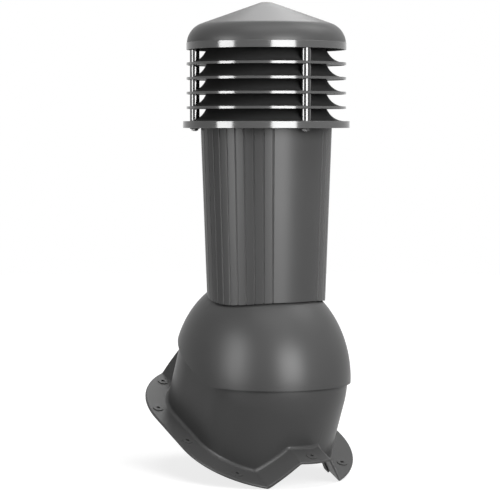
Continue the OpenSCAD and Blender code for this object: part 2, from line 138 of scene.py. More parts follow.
def plastic(name, colour, roughness, ior, grain=0.0, grain_size=1.2 * MM, patches=0.0):
    material = bpy.data.materials.new(name)
    material.use_nodes = True
    tree = material.node_tree
    shader = tree.nodes["Principled BSDF"]
    shader.inputs["Base Color"].default_value = (*colour, 1)
    shader.inputs["Roughness"].default_value = roughness
    shader.inputs["IOR"].default_value = ior
    place = tree.nodes.new("ShaderNodeTexCoord")
    if patches:
        # Mould release and handling leave soft patches that are a little duller
        cloud = tree.nodes.new("ShaderNodeTexNoise")
        cloud.inputs["Scale"].default_value = patch_scale
        cloud.inputs["Detail"].default_value = 3
        spread = tree.nodes.new("ShaderNodeMapRange")
        spread.inputs["To Min"].default_value = roughness - patches
        spread.inputs["To Max"].default_value = roughness + patches
        tree.links.new(place.outputs["Object"], cloud.inputs["Vector"])
        tree.links.new(cloud.outputs["Fac"], spread.inputs["Value"])
        tree.links.new(spread.outputs["Result"], shader.inputs["Roughness"])
    if grain:
        speckle = tree.nodes.new("ShaderNodeTexNoise")
        speckle.inputs["Scale"].default_value = 1 / grain_size
        speckle.inputs["Detail"].default_value = 2
        bump = tree.nodes.new("ShaderNodeBump")
        bump.inputs["Strength"].default_value = grain
        bump.inputs["Distance"].default_value = grain_height
        tree.links.new(place.outputs["Object"], speckle.inputs["Vector"])
        tree.links.new(speckle.outputs["Fac"], bump.inputs["Height"])
        tree.links.new(bump.outputs["Normal"], shader.inputs["Normal"])
    return material


graphite = (0.06, 0.06, 0.06)
skin_plastic = plastic("moulded_graphite", graphite, 0.4, 1.25, grain=0.25, patches=0.03)
edge_plastic = plastic("polished_graphite", (0.07, 0.07, 0.07), 0.13, 1.5)
sleeve_plastic = plastic("polished_sleeve", (0.03, 0.03, 0.03), 0.08, 1.6)
# Painted shade: a darker plastic for the grooves of the tube and the walls of the screw pads.
groove_shade_plastic = plastic("groove_shade_graphite", (0.02, 0.02, 0.02), 0.6, 1.4)
# Painted shade: a darker plastic for the louvres and the head ring's rim, except where they are
# polished.
louvre_shade_plastic = plastic("louvre_shade_graphite", (0.036, 0.036, 0.036), 0.45, 1.3, grain=0.2)
seal_rubber = plastic("seal_rubber", (0.02, 0.02, 0.02), 0.75, 1.5, grain=0.6, grain_size=2 * MM)
felt = plastic("felt", (0.3, 0.3, 0.28), 0.95, 1.4, grain=1.0, grain_size=3 * MM, patches=0.03)
duct_plastic = plastic("duct_plastic", (0.33, 0.34, 0.35), 0.35, 1.5, grain=0.15, patches=0.04)


# %% [markdown]
# The pins, rods and nuts are stainless steel. It starts from the plastic's function, because a
# noise that breaks up the roughness suits it too, and is then made metallic. The nuts and the
# ends of the rods sit in the shade under the head ring, and that shade is painted on them as a
# darker steel.

# %% Steel
def steel(name, colour, roughness):
    material = plastic(name, colour, roughness, 1.5, grain=0.3, grain_size=0.6 * MM, patches=0.06)
    material.node_tree.nodes["Principled BSDF"].inputs["Metallic"].default_value = 1.0
    return material


bright_steel = steel("bright_steel", (0.62, 0.63, 0.64), 0.22)
# Painted shade: the same steel, made darker for the nuts and rod ends under the ring.
shaded_steel = steel("shaded_steel", (0.06, 0.06, 0.06), 0.45)
print("materials:", [m.name for m in bpy.data.materials])

# %% [markdown]
# ## Tools for every piece
# A finished piece is a mesh object at the origin with its place in its vertices. It rides on the
# rigid body that carries it, takes its finishes from a list of materials, and stands for the
# plain solid that it dresses, which is hidden. Edges sharper than its crease angle stay crisp
# when it is shaded. Weighted normals keep the large faces flat, so that the light does not smear
# round a bevel. A piece may ask for more modifiers, such as a wall, and they come first.

# %% Finish a piece
def add_piece(name, bm, body, materials, nodes=(), finish=(), crease=35):
    mesh = bpy.data.meshes.new(name)
    bm.to_mesh(mesh)
    bm.free()
    for material in materials:
        mesh.materials.append(material)
    mesh.shade_smooth()
    mesh.set_sharp_from_angle(angle=radians(crease))
    piece = bpy.data.objects.new(name, mesh)
    bpy.context.scene.collection.objects.link(piece)
    for kind, settings in finish:
        modifier = piece.modifiers.new(kind.lower(), kind)
        for setting, value in settings.items():
            setattr(modifier, setting, value)
    shade = piece.modifiers.new("shade", "WEIGHTED_NORMAL")
    shade.keep_sharp = True
    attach(piece, body)
    if nodes:
        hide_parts(*nodes)
    print(name, "has", len(mesh.polygons), "faces")
    return piece


# %% [markdown]
# No moulded edge is perfectly sharp, and the thin line of light along a rounded edge is what
# makes plastic look like plastic. This helper bevels every edge that is sharper than an angle.

# %% Round the sharp edges
def soften(bm, width, sharper=60, segments=3):
    edges = [
        edge for edge in bm.edges
        if len(edge.link_faces) == 2 and edge.calc_face_angle(0) > radians(sharper)
    ]
    bmesh.ops.bevel(
        bm, geom=edges, offset=width, offset_type="OFFSET", segments=segments, profile=0.5,
        affect="EDGES", clamp_overlap=True, material=-1,
    )


# %% [markdown]
# Rings, pipes and the cap are turned. Their outline is a list of (radius, height) points, and
# `bmesh.ops.spin` carries it once round an axis. Where the outline is closed the result is a
# solid ring. Where it starts and ends on the axis it closes by itself at the poles. The
# spin may leave faces pointing inwards, so the normals are set once doubles are merged.

# %% Turn an outline round an axis
turn_steps = 144
same_place = 0.001 * MM


def turned(outline, foot, axis="Z", closed=True, steps=turn_steps):
    bm = bmesh.new()
    if axis == "Z":
        points = [foot + Vector((r, 0, h)) * MM for r, h in outline]
        direction = Vector((0, 0, 1))
    else:
        points = [foot + Vector((h, r, 0)) * MM for r, h in outline]
        direction = Vector((1, 0, 0))
    verts = [bm.verts.new(point) for point in points]
    ends = verts[1:] + verts[:1] if closed else verts[1:]
    edges = [bm.edges.new(pair) for pair in zip(verts, ends)]
    bmesh.ops.spin(
        bm, geom=verts + edges, cent=foot, axis=direction, dvec=(0, 0, 0), angle=2 * pi,
        steps=steps, use_merge=True, use_duplicate=False,
    )
    bmesh.ops.remove_doubles(bm, verts=bm.verts, dist=same_place)
    bmesh.ops.recalc_face_normals(bm, faces=bm.faces)
    return bm


def tube_outline(inner, outer, low, high):
    return [(inner, low), (outer, low), (outer, high), (inner, high)]


# %% [markdown]
# A ring of vertices is the start of many pieces, and some pieces are gathered from several
# parts. These two helpers join a ring with edges and add a finished part to a larger mesh.

# %% Rings and gathered parts
def ring_edges(bm, verts):
    return [bm.edges.get(pair) or bm.edges.new(pair) for pair in zip(verts, verts[1:] + verts[:1])]


def gather(whole, part):
    mesh = bpy.data.meshes.new("part")
    part.to_mesh(mesh)
    part.free()
    whole.from_mesh(mesh)
    bpy.data.meshes.remove(mesh)


# %% [markdown]
# Faces of one piece can carry different materials. This helper gives a material slot to each
# face that passes a test on its middle point. The test gets the point's radius and height,
# measured from the pipe's foot in millimetres.

# %% Paint some faces
def paint(bm, slot_index, test):
    for face in bm.faces:
        middle = (face.calc_center_median() - pipe_foot) / MM
        if test(hypot(middle.x, middle.y), middle.z):
            face.material_index = slot_index


# %% [markdown]
# ## The hood
# The hood is not quite a ball: its outline along the pivot axis is fuller than an ellipse. It
# is drawn as half a superellipse and spun round the pivot, so that it can tilt on the body
# without its gap changing. A plane that slopes a little more than the roof then trims it behind,
# and a level one in front, which is what gives the rim its kink.

# %% Hood sizes
hood_radius = 148.5
hood_half_width = 117.4
hood_fullness = 2.15
hood_wall = 3
front_rim = -6.5
rear_rim = 12.2
trim_pitch = radians(25)
trim_normal = Vector((0, -sin(trim_pitch), cos(trim_pitch)))
ball_steps = 48


def ball_outline(radius, half):
    outline = []
    for i in range(ball_steps + 1):
        angle = -pi / 2 + pi * i / ball_steps
        across = abs(cos(angle)) ** (2 / hood_fullness) * radius
        along = abs(sin(angle)) ** (2 / hood_fullness) * half
        outline.append((across, along if angle > 0 else -along))
    return outline


def ball_height(x, y, radius, half):
    """Height of the ball's upper surface over a point, from the pivot, in millimetres."""
    reach = radius * max(0, 1 - (abs(x) / half) ** hood_fullness) ** (1 / hood_fullness)
    return sqrt(max(0, reach**2 - y**2))


# %% [markdown]
# The top of the ball is open where the neck rises. The faces inside the neck's bore are
# deleted, and the ragged edge that this leaves is pulled onto a true circle on the ball.

# %% Hood shell
neck_bore = 79.9
neck_foot = 60
pipe_offset = (pivot.y - pipe_foot.y) / MM


def cut(bm, point, normal, keep_above=True):
    bmesh.ops.bisect_plane(
        bm, geom=bm.verts[:] + bm.edges[:] + bm.faces[:], dist=same_place, plane_co=point,
        plane_no=normal, clear_inner=keep_above, clear_outer=not keep_above,
    )


def open_top(bm, bore, radius, half):
    inside = []
    for vert in bm.verts:
        from_pipe = (vert.co - pipe_foot) / MM
        if from_pipe.z > 0 and hypot(from_pipe.x, from_pipe.y) < bore + 1:
            inside.append(vert)
    bmesh.ops.delete(bm, geom=inside, context="VERTS")
    for vert in bm.verts:
        if vert.is_boundary and vert.co.z > pivot.z + neck_foot * MM:
            flat = (vert.co - pipe_foot) / MM
            turn = atan2(flat.y, flat.x)
            x, y = bore * cos(turn), bore * sin(turn) - pipe_offset
            vert.co = pivot + Vector((x, y, ball_height(x, y, radius, half))) * MM


hood = turned(ball_outline(hood_radius, hood_half_width), pivot, axis="X", closed=False, steps=192)
cut(hood, pivot + Vector((0, 0, front_rim * MM)), (0, 0, 1))
cut(hood, pivot + trim_normal * rear_rim * MM, trim_normal)
open_top(hood, neck_bore, hood_radius, hood_half_width)
print("hood skin:", len(hood.faces), "faces")

# %% [markdown]
# A wall is a modifier's job: Solidify grows it inwards from the outer skin, and a narrow Bevel
# rounds the rim.

# %% Wall and rim
def wall_finish(thickness, edge_round=0.6):
    wall = {"thickness": thickness * MM, "offset": -1, "use_even_offset": True}
    return [("SOLIDIFY", wall), rim_finish(edge_round)]


def rim_finish(edge_round, sharper=50):
    return ("BEVEL", {
        "width": edge_round * MM, "segments": 2,
        "limit_method": "ANGLE", "angle_limit": radians(sharper),
    })


add_piece(
    "hood_shell", hood, "hood", [skin_plastic], ["hood"],
    finish=wall_finish(hood_wall),
)

# %% [markdown]
# ## The neck
# The tube stands round a short neck on the hood. It is a turned ring whose lower end follows
# the ball, so its outline is spun first and its foot is then pushed down onto the ball.

# %% Neck
tube_foot = 86
tube_top = 95.1
tube_foot_h = 115
tube_top_h = 366
tube_wall = 2.5
tube_fit = 0.4
neck_seat = 141
neck_top = 150
neck_bite = 2


def tube_radius(h):
    return tube_foot + (h - tube_foot_h) * (tube_top - tube_foot) / (tube_top_h - tube_foot_h)


neck_outline = [
    (neck_bore, neck_foot), (tube_radius(neck_foot) - tube_wall - tube_fit, neck_foot),
    (tube_radius(neck_seat) - tube_wall - tube_fit, neck_seat),
    (tube_radius(neck_seat) - tube_wall, neck_seat + 1),
    (tube_radius(neck_top) - tube_wall, neck_top), (neck_bore, neck_top),
]
neck = turned(neck_outline, pipe_foot)
for vert in neck.verts:
    at = (vert.co - pivot) / MM
    if at.z < neck_foot + 1:
        ball_top = ball_height(at.x, at.y, hood_radius, hood_half_width)
        vert.co.z = pivot.z + (ball_top - neck_bite) * MM
soften(neck, 0.5 * MM, sharper=50)
add_piece("hood_neck", neck, "hood", [skin_plastic])

# %% [markdown]
# ## The arms
# Inside the hood two flat arms reach down to the pivot pins. Each is a strip with a round end.
# Its outline is filled, extruded to its thickness, and its top is then raised to the ball.

# %% Arms
arm_inside = 88.5
arm_thick = 5
arm_half_width = 13
arm_top = 60
arm_end_steps = 16
arms = bmesh.new()
for hand in (-1, 1):
    turns = [pi + pi * i / arm_end_steps for i in range(arm_end_steps + 1)]
    outline = [(arm_half_width * cos(a), arm_half_width * sin(a)) for a in turns]
    outline += [(arm_half_width, arm_top), (0, arm_top), (-arm_half_width, arm_top)]
    verts = [arms.verts.new(pivot + Vector((hand * arm_inside, y, z)) * MM) for y, z in outline]
    face = arms.faces.new(verts)
    moved = bmesh.ops.extrude_face_region(arms, geom=[face], use_keep_orig=True)["geom"]
    moved = [part for part in moved if isinstance(part, bmesh.types.BMVert)]
    bmesh.ops.translate(arms, verts=moved, vec=(hand * arm_thick * MM, 0, 0))
for vert in arms.verts:
    at = (vert.co - pivot) / MM
    if at.z > arm_top / 2:
        inset = hood_wall / 2
        in_wall = ball_height(at.x, at.y, hood_radius - inset, hood_half_width - inset)
        vert.co.z = pivot.z + in_wall * MM
bmesh.ops.recalc_face_normals(arms, faces=arms.faces)
soften(arms, 0.5 * MM)
add_piece("hood_arms", arms, "hood", [skin_plastic])

# %% [markdown]
# ## The flange and the body
# Flange, ridge and body are one moulding. It is modelled as if the roof were level, and turned
# to the roof's pitch at the end. Each contour is an oval, two half circles joined by straight
# sides. One ring of vertices is extruded again and again, and each new ring is moved to the
# next oval: from the inner wall out over the flange's rim and up the outer wall.

# %% Oval loops
flange_radius = 135.5
flange_half = 43.5
flange_thick = 4
rim_round = 1.8
body_radius = 104.5
body_half = 37.5
body_wall = 3
fillet = 5
pivot_height = 88.5
flange_middle = 120
low_wall = 20
arc_steps = 60
side_steps = 12


def oval(radius, half, height):
    points = []
    for end in (-1, 1):
        for i in range(arc_steps + 1):
            turn = pi * i / arc_steps
            points.append((-end * radius * cos(turn), end * (half + radius * sin(turn))))
        for i in range(1, side_steps):
            points.append((end * radius, end * half * (1 - 2 * i / side_steps)))
    return [Vector((x, y, height)) * MM for x, y in points]


def extruded(bm, verts, places):
    """Extrudes a ring of vertices and moves the new ring to its places, in the same order."""
    parts = bmesh.ops.extrude_edge_only(bm, edges=ring_edges(bm, verts))["geom"]
    fresh = {part for part in parts if isinstance(part, bmesh.types.BMVert)}
    ring = []
    for vert in verts:
        neighbours = [edge.other_vert(vert) for edge in vert.link_edges]
        ring.append(next(other for other in neighbours if other in fresh))
    for vert, place in zip(ring, places):
        vert.co = place
    return ring


def arc(centre_r, centre_h, radius, start, stop, steps=6):
    angles = [radians(start + (stop - start) * i / steps) for i in range(steps + 1)]
    return [(centre_r + radius * cos(a), centre_h + radius * sin(a)) for a in angles]


# %% [markdown]
# The inner wall starts under the hood and comes down. The outline then turns round the flange's
# rim, crosses the flange, climbs the fillet and rises to the same height outside.

# %% Loops from the inner wall round the rim to the outer wall
dome_rows = 24
dome_reach = 175
row_growth = 1.2
row_shares = [(i / dome_rows) ** row_growth for i in range(dome_rows + 1)]
wall_levels = [pivot_height + dome_reach * share for share in row_shares]
inner_radius = body_radius - body_wall
lifted_top = flange_thick + fillet
contours = [(inner_radius, body_half, level) for level in wall_levels[::-1]]
contours += [(inner_radius, body_half, low_wall), (inner_radius, body_half, 0)]
contours.append((flange_middle, flange_half, 0))
rim_arc = arc(flange_radius - rim_round, rim_round, rim_round, -90, 0)
rim_arc += arc(flange_radius - rim_round, flange_thick - rim_round, rim_round, 0, 90)
contours += [(r, flange_half, h) for r, h in rim_arc]
contours.append((flange_middle, flange_half, flange_thick))
foot_arc = arc(body_radius + fillet, lifted_top, fillet, 270, 180, steps=8)
contours += [(r, body_half, h) for r, h in foot_arc]
contours += [(body_radius, body_half, level) for level in [low_wall] + wall_levels]

body = bmesh.new()
ring = [body.verts.new(place) for place in oval(*contours[0])]
for contour in contours[1:]:
    ring = extruded(body, ring, oval(*contour))
print("flange and body:", len(contours), "rings,", len(body.faces), "faces")

# %% [markdown]
# The ridge lies over the crest of the roof tile. It is not built, it is lifted: the flat flange
# is cut along the lines where the ridge bends, and every point of the flange and the fillet is
# then raised to the ridge's height at its place. A few cuts side by side at each bend let it
# bend softly, as moulded plastic does.

# %% Lift the ridge
ridge_rise = 44.5
ridge_foot = 60
ridge_top = 24
plate_step = 1.6
bend_soft = 2.2
cuts_per_bend = 7
margin = 0.1


def ridge_height(x, spread):
    """Height of the ridge at a distance from its middle line, with its bends rounded."""
    foot, top = ridge_foot + spread, ridge_top + spread

    def bend(distance):
        if abs(distance) > bend_soft:
            return max(0, distance)
        return (distance + bend_soft) ** 2 / (4 * bend_soft)

    return ridge_rise / (foot - top) * (bend(foot - abs(x)) - bend(top - abs(x)))


bend_width = plate_step + 2 * bend_soft
for bend_start in (ridge_foot - bend_soft, ridge_top - bend_soft):
    for i in range(cuts_per_bend):
        for hand in (-1, 1):
            low = {vert for vert in body.verts if vert.co.z < (low_wall + margin) * MM}
            edges = [edge for edge in body.edges if low.issuperset(edge.verts)]
            faces = [face for face in body.faces if low.issuperset(face.verts)]
            place = hand * (bend_start + bend_width * i / (cuts_per_bend - 1))
            bmesh.ops.bisect_plane(
                body, geom=list(low) + edges + faces, dist=0.02 * MM,
                plane_co=(place * MM, 0, 0), plane_no=(1, 0, 0),
            )
for vert in body.verts:
    if vert.co.z < (lifted_top + margin) * MM:
        spread = plate_step * min(1, max(0, vert.co.z / MM / flange_thick))
        vert.co.z += ridge_height(vert.co.x / MM, spread) * MM
    elif vert.co.z < (low_wall + margin) * MM:
        vert.co.z += ridge_height(vert.co.x / MM, plate_step) * MM
print("with the ridge:", len(body.faces), "faces")

# %% [markdown]
# Above the pivot the wall becomes the dome that the hood turns on. Each point that stands
# outside the dome's ball is drawn in towards the pivot until it lies on the ball. The change
# from wall to ball is blended over a small share of the radius, because a hard change would
# show as a crease.

# %% Shape the dome
dome_gap = 1.5
dome_radius = hood_radius - hood_wall - dome_gap
dome_half_width = hood_half_width - hood_wall - dome_gap
dome_blend = 0.03
blend_rise = 30


def onto_dome(vert, inset):
    at = vert.co / MM - Vector((0, 0, pivot_height))
    if at.z <= 0:
        return
    across, along = hypot(at.y, at.z) / (dome_radius - inset), abs(at.x) / (dome_half_width - inset)
    reach = (across**hood_fullness + along**hood_fullness) ** (-1 / hood_fullness)
    blend = dome_blend * min(1, at.z / blend_rise)
    mix = min(1, max(0, 0.5 + (reach - 1) / (2 * blend)))
    share = mix + (1 - mix) * reach - blend * mix * (1 - mix)
    vert.co = (at * share + Vector((0, 0, pivot_height))) * MM


for vert in body.verts:
    from_middle = hypot(vert.co.x, max(0, abs(vert.co.y) - body_half * MM)) / MM
    onto_dome(vert, body_wall if from_middle < body_radius - body_wall / 2 else 0)
print("dome:", dome_radius, "mm in radius,", dome_half_width, "mm to each side")

# %% [markdown]
# The dome is open on top, where the duct comes through, and its mouth is higher in front than
# behind. One plane cuts the inner and the outer wall there, and the two edges that it leaves are
# bridged, which closes the moulding.

# %% Mouth of the dome
dome_front = 99
dome_rear = 50
front_reach = sqrt(dome_radius**2 - dome_front**2)
rear_reach = sqrt(dome_radius**2 - dome_rear**2)
fall = (dome_front - dome_rear) / (front_reach + rear_reach)
dome_middle = pivot_height + dome_rear + rear_reach * fall
cut(body, (0, 0, dome_middle * MM), (0, fall, 1), keep_above=False)
bmesh.ops.bridge_loops(body, edges=[edge for edge in body.edges if edge.is_boundary])
bmesh.ops.recalc_face_normals(body, faces=body.faces)
open_edges = sum(edge.is_boundary for edge in body.edges)
print("with the dome:", len(body.faces), "faces,", open_edges, "open edges")

# %% [markdown]
# The screws stand along an oval line inside the flange's rim: one on the ridge in front and one
# behind, and four on each side. One side is written down, and the other mirrors it.

# %% Screw places
screw_line = 120
front_side = -28
rear_side = 65
front_corner = radians(48.5)
rear_corner = radians(38)
screw_places = [
    (screw_line, front_side), (screw_line, rear_side),
    (0, -flange_half - screw_line), (0, flange_half + screw_line),
    (screw_line * sin(front_corner), -flange_half - screw_line * cos(front_corner)),
    (screw_line * sin(rear_corner), flange_half + screw_line * cos(rear_corner)),
]


def screw_tops(hand):
    """Tops of one side's screw holes. The two on the ridge are counted with the right side."""
    tops = []
    for x, y in screw_places:
        if x or hand > 0:
            tops.append(Vector((hand * x, y, flange_thick + (0 if x else ridge_rise))) * MM)
    return tops


print("screws:", len(screw_tops(-1)) + len(screw_tops(1)))

# %% [markdown]
# The screw holes and the two notches that the arms swing in are carved out of the moulding. Each
# cutter is turned: a hole's is a full round plug, and a notch's sweeps only the angle that its
# arm needs. All are gathered in one mesh.

# %% Cutters
hole_radius = 2.75
hole_steps = 40
plug_low = -8
plug_high = 3
plug = [(0, plug_low), (hole_radius, plug_low), (hole_radius, plug_high), (0, plug_high)]
notch_near = 66
notch_far = 200
notch_inside = 84.5
notch_outside = 150
notch = [
    (notch_near, notch_inside), (notch_near, notch_outside),
    (notch_far, notch_outside), (notch_far, notch_inside),
]
notch_from = radians(-6)
notch_to = radians(62)
notch_steps = 12
pivot_on_roof = Vector((0, 0, pivot_height * MM))

cutters = bmesh.new()
for hand in (-1, 1):
    for top in screw_tops(hand):
        gather(cutters, turned(plug, top, closed=False, steps=hole_steps))
    wedge = bmesh.new()
    verts = [wedge.verts.new(Vector((hand * x, 0, r)) * MM + pivot_on_roof) for r, x in notch]
    edges = ring_edges(wedge, verts)
    bmesh.ops.rotate(
        wedge, verts=verts, cent=pivot_on_roof, matrix=Matrix.Rotation(-notch_from, 3, "X")
    )
    bmesh.ops.spin(
        wedge, geom=verts + edges, cent=pivot_on_roof, axis=(-1, 0, 0), dvec=(0, 0, 0),
        angle=notch_to - notch_from, steps=notch_steps, use_merge=False, use_duplicate=False,
    )
    bmesh.ops.holes_fill(wedge, edges=wedge.edges[:])
    bmesh.ops.recalc_face_normals(wedge, faces=wedge.faces)
    gather(cutters, wedge)
print("cutters:", len(cutters.faces), "faces")

# %% [markdown]
# One Boolean takes all the cutters away at once. The modifier is used as a tool here: its result
# is read back as a mesh, and the cutters are thrown away. Only then is the moulding turned to the
# roof's pitch, with the underside of the ridge's crest at the origin.

# %% Carve and place the body
def carved(solid_bm, cutter_bm):
    both = []
    for name, bm in (("solid", solid_bm), ("cutter", cutter_bm)):
        mesh = bpy.data.meshes.new(name)
        bm.to_mesh(mesh)
        bm.free()
        both.append(bpy.data.objects.new(name, mesh))
        bpy.context.scene.collection.objects.link(both[-1])
    carve = both[0].modifiers.new("carve", "BOOLEAN")
    carve.operation = "DIFFERENCE"
    carve.solver = "EXACT"
    carve.object = both[1]
    result = bmesh.new()
    result.from_object(both[0], bpy.context.evaluated_depsgraph_get())
    for thing in both:
        bpy.data.objects.remove(thing)
    return result


body = carved(body, cutters)
on_roof = Matrix.Rotation(roof_pitch, 4, "X") @ Matrix.Translation((0, 0, -ridge_rise * MM))
bmesh.ops.transform(body, matrix=on_roof, verts=body.verts)
add_piece(
    "flange_and_body", body, "base", [skin_plastic], ["base_body"],
    finish=[rim_finish(0.5, sharper=40)], crease=30,
)

# %% [markdown]
# Each screw has a round pad for its washer. It stands a little proud of the flange. The shade in
# the corner round it is painted on as a dark line: the pad's walls get the dark plastic of the
# grooves.

# %% Screw pads
seat_radius = 8
seat_sunk = 1
seat_proud = 1.1
upright = 0.5
pad_outline = tube_outline(hole_radius, seat_radius, -seat_sunk, seat_proud)
pads = bmesh.new()
for hand in (-1, 1):
    for top in screw_tops(hand):
        pad = turned(pad_outline, top, steps=hole_steps)
        soften(pad, 0.3 * MM, segments=2)
        # Painted shade: the pad's upright walls get the darker plastic.
        for face in pad.faces:
            if abs(face.normal.z) < upright:
                face.material_index = 1
        gather(pads, pad)
bmesh.ops.transform(pads, matrix=on_roof, verts=pads.verts)
add_piece("screw_pads", pads, "base", [skin_plastic, groove_shade_plastic])

# %% [markdown]
# The pivot pins are pressed into two bosses on the inside of the wall. Each is a short ring that
# is turned round the pivot and runs into the wall, so nothing has to be joined to it.

# %% Pin bosses
pin_radius = 5
boss_radius = 10
boss_inside = 95.5
boss_outside = 103
for name, hand in (("pin_boss_left", -1), ("pin_boss_right", 1)):
    boss = turned([
        (pin_radius, hand * boss_inside), (pin_radius, hand * boss_outside),
        (boss_radius, hand * boss_outside), (boss_radius, hand * boss_inside),
    ], pivot, axis="X")
    soften(boss, 0.5 * MM)
    add_piece(name, boss, "base", [skin_plastic])

# %% [markdown]
# ## The ribbed tube
# The tube is drawn as its own cross-section. One rib is a flat and a narrow groove, and it
# repeats every 8.5 degrees down both sides, with a smooth panel left in front and behind. One
# helper lists the section's points by their angle, and another lays them out as a loop.

# %% Tube outline
groove_step = 8.5
grooves = 16
groove_half = 0.85
flute_half = 0.35
groove_depth_top = 1.8
groove_depth_foot = 0.8
panel_steps = 6


def tube_section():
    """Angles round the tube from straight down the slope, each with how deep its groove is."""
    first = 90 - groove_step * (grooves - 1) / 2
    marks = [(first * k / panel_steps, 0.0) for k in range(panel_steps)]
    for i in range(grooves):
        middle = first + i * groove_step
        marks += [
            (middle - groove_half, 0.0), (middle - flute_half, 1.0),
            (middle + flute_half, 1.0), (middle + groove_half, 0.0),
        ]
        if i < grooves - 1:
            marks += [(middle + groove_step * k / 3, 0.0) for k in (1, 2)]
    marks += [(180 - first * k / panel_steps, 0.0) for k in range(panel_steps - 1, -1, -1)]
    return marks + [(360 - angle, depth) for angle, depth in reversed(marks[1:-1])]


def tube_ring(bm, height, depth, previous=None):
    """One loop round the tube at a height over the pivot, joined to the loop below it."""
    loop = []
    for angle, share in tube_section():
        turn = radians(angle - 90)
        r = tube_radius(height) - share * depth
        loop.append(bm.verts.new(pipe_foot + Vector((r * cos(turn), r * sin(turn), height)) * MM))
    edges = ring_edges(bm, loop)
    if previous:
        bmesh.ops.bridge_loops(bm, edges=previous + edges)
    return edges


print("tube section:", len(tube_section()), "points")

# %% [markdown]
# The outline goes round at the foot, halfway up and at the top, where the grooves are deepest,
# and each loop is bridged to the one below. The foot then drops onto the ball, a few millimetres
# clear of it. Faces that lie deep enough to be a groove's get a darker plastic, which is the
# shade in the grooves painted on.

# %% Tube
tube_middle_h = 240
tube_gap = 3
groove_share = 0.6
tube = bmesh.new()
foot_edges = tube_ring(tube, tube_foot_h, groove_depth_foot)
foot_verts = {vert for edge in foot_edges for vert in edge.verts}
middle_depth = (groove_depth_foot + groove_depth_top) / 2
middle_edges = tube_ring(tube, tube_middle_h, middle_depth, foot_edges)
tube_ring(tube, tube_top_h, groove_depth_top, middle_edges)
for vert in foot_verts:
    at = (vert.co - pivot) / MM
    height = ball_height(at.x, at.y, hood_radius + tube_gap, hood_half_width + tube_gap)
    shrink = tube_radius(height) / tube_radius(tube_foot_h)
    flat = (vert.co - pipe_foot) * shrink
    vert.co = pipe_foot + Vector((flat.x, flat.y, height * MM))
bmesh.ops.recalc_face_normals(tube, faces=tube.faces)
# Painted shade: the groove faces get the darker plastic.
paint(tube, 1, lambda r, z: r < tube_radius(z) - groove_depth_foot * groove_share)
add_piece(
    "ribbed_tube", tube, "hood", [skin_plastic, groove_shade_plastic], ["outer_tube"],
    finish=wall_finish(tube_wall, edge_round=0.3), crease=20,
)

# %% [markdown]
# ## The head ring and the louvres
# Each louvre is a thin rim that curves up into a flare, so that rain runs outwards and air
# passes under it. The head ring has the same flare over a deep rim, and a skirt that plugs
# into the tube. One function draws the flare for both.

# %% Flared outlines
flare_foot = 113.4
flare_curve = 28
flare_slope = radians(62)
flare_rise = 24
flare_wall = 2.5
flare_steps = 8


def flare(z, inset=0.0):
    centre_z = z + flare_curve
    r = flare_curve + inset
    turns = [flare_slope * i / flare_steps for i in range(flare_steps + 1)]
    line = [(flare_foot - r * sin(turn), centre_z - r * cos(turn)) for turn in turns]
    straight = (flare_rise - flare_curve * (1 - cos(flare_slope))) / sin(flare_slope)
    last = line[-1]
    line.append((last[0] - straight * cos(flare_slope), last[1] + straight * sin(flare_slope)))
    return line


def flared_outline(rim, z, edge, lip):
    upper = flare(z)
    lower = flare(z, inset=flare_wall)[::-1]
    rim_points = [(rim - lip, z - edge), (rim, z - edge), (rim, z)]
    return rim_points + upper + lower + [(rim - lip, z - flare_wall)]


# %% [markdown]
# The head ring comes from two turnings. The first is the visible rim with its flare, which is
# polished outside.

# %% Head ring's rim
ring_low = 360.3
ring_top = 370.3
ring_rim = 120.6
ring_lip = 3
ring = turned(flared_outline(ring_rim, ring_top, ring_top - ring_low, ring_lip), pipe_foot)
soften(ring, 0.5 * MM)
# The rim is polished; the rest keeps the darker plastic, which is painted shade.
paint(ring, 1, lambda r, z: r > flare_foot)
add_piece("ring_rim", ring, "head", [louvre_shade_plastic, edge_plastic], ["head_ring"])

# %% [markdown]
# The second is the plate under the rim. It has a slot for the tube's top, and a skirt that stands
# inside the tube and keeps the head in place.

# %% Plate and skirt of the head ring
duct_radius = 75
duct_gap = 2
plate_thick = 4
plate_low = ring_top - plate_thick
plate_edge = flare_foot - 1
skirt_deep = 16
skirt_wall = 3
skirt_fit = 0.4
skirt_low = ring_low - skirt_deep
skirt_out = tube_radius(skirt_low) - tube_wall - skirt_fit
slot_out = tube_top + skirt_fit
slot_in = tube_top - tube_wall - skirt_fit
tube_rest = 0.3
slot_top = tube_top_h + tube_rest
under = turned([
    (duct_radius + duct_gap, plate_low), (duct_radius + duct_gap, ring_top),
    (plate_edge, ring_top - 1), (plate_edge, plate_low),
    (slot_out + skirt_wall, plate_low), (slot_out + skirt_wall, ring_low),
    (slot_out, ring_low), (slot_out, slot_top), (slot_in, slot_top),
    (skirt_out, skirt_low), (skirt_out - skirt_wall, skirt_low), (slot_in - skirt_wall, plate_low),
], pipe_foot)
soften(under, 0.4 * MM)
add_piece("ring_skirt", under, "head", [skin_plastic])

# %% [markdown]
# The four louvres are the same turning at four heights, so a loop makes them. Their edges are
# rounded wide, because each one carries a bright line of light in the photo.

# %% Louvres
louvre_rim = 115.4
louvre_edge = 3.5
louvre_lip = 1.99
louvre_pitch = 21
louvre_levels = [ring_top + louvre_pitch + n * louvre_pitch for n in range(4)]
for n, z in enumerate(louvre_levels, 1):
    louvre = turned(flared_outline(louvre_rim, z, louvre_edge, louvre_lip), pipe_foot)
    soften(louvre, 1.1 * MM, segments=4)
    # The rim is polished; the rest keeps the darker plastic, which is painted shade.
    paint(louvre, 1, lambda r, z: r > flare_foot)
    add_piece(
        f"louvre_ring_{n}", louvre, "head", [louvre_shade_plastic, edge_plastic],
        [f"louvre_{n}"],
    )

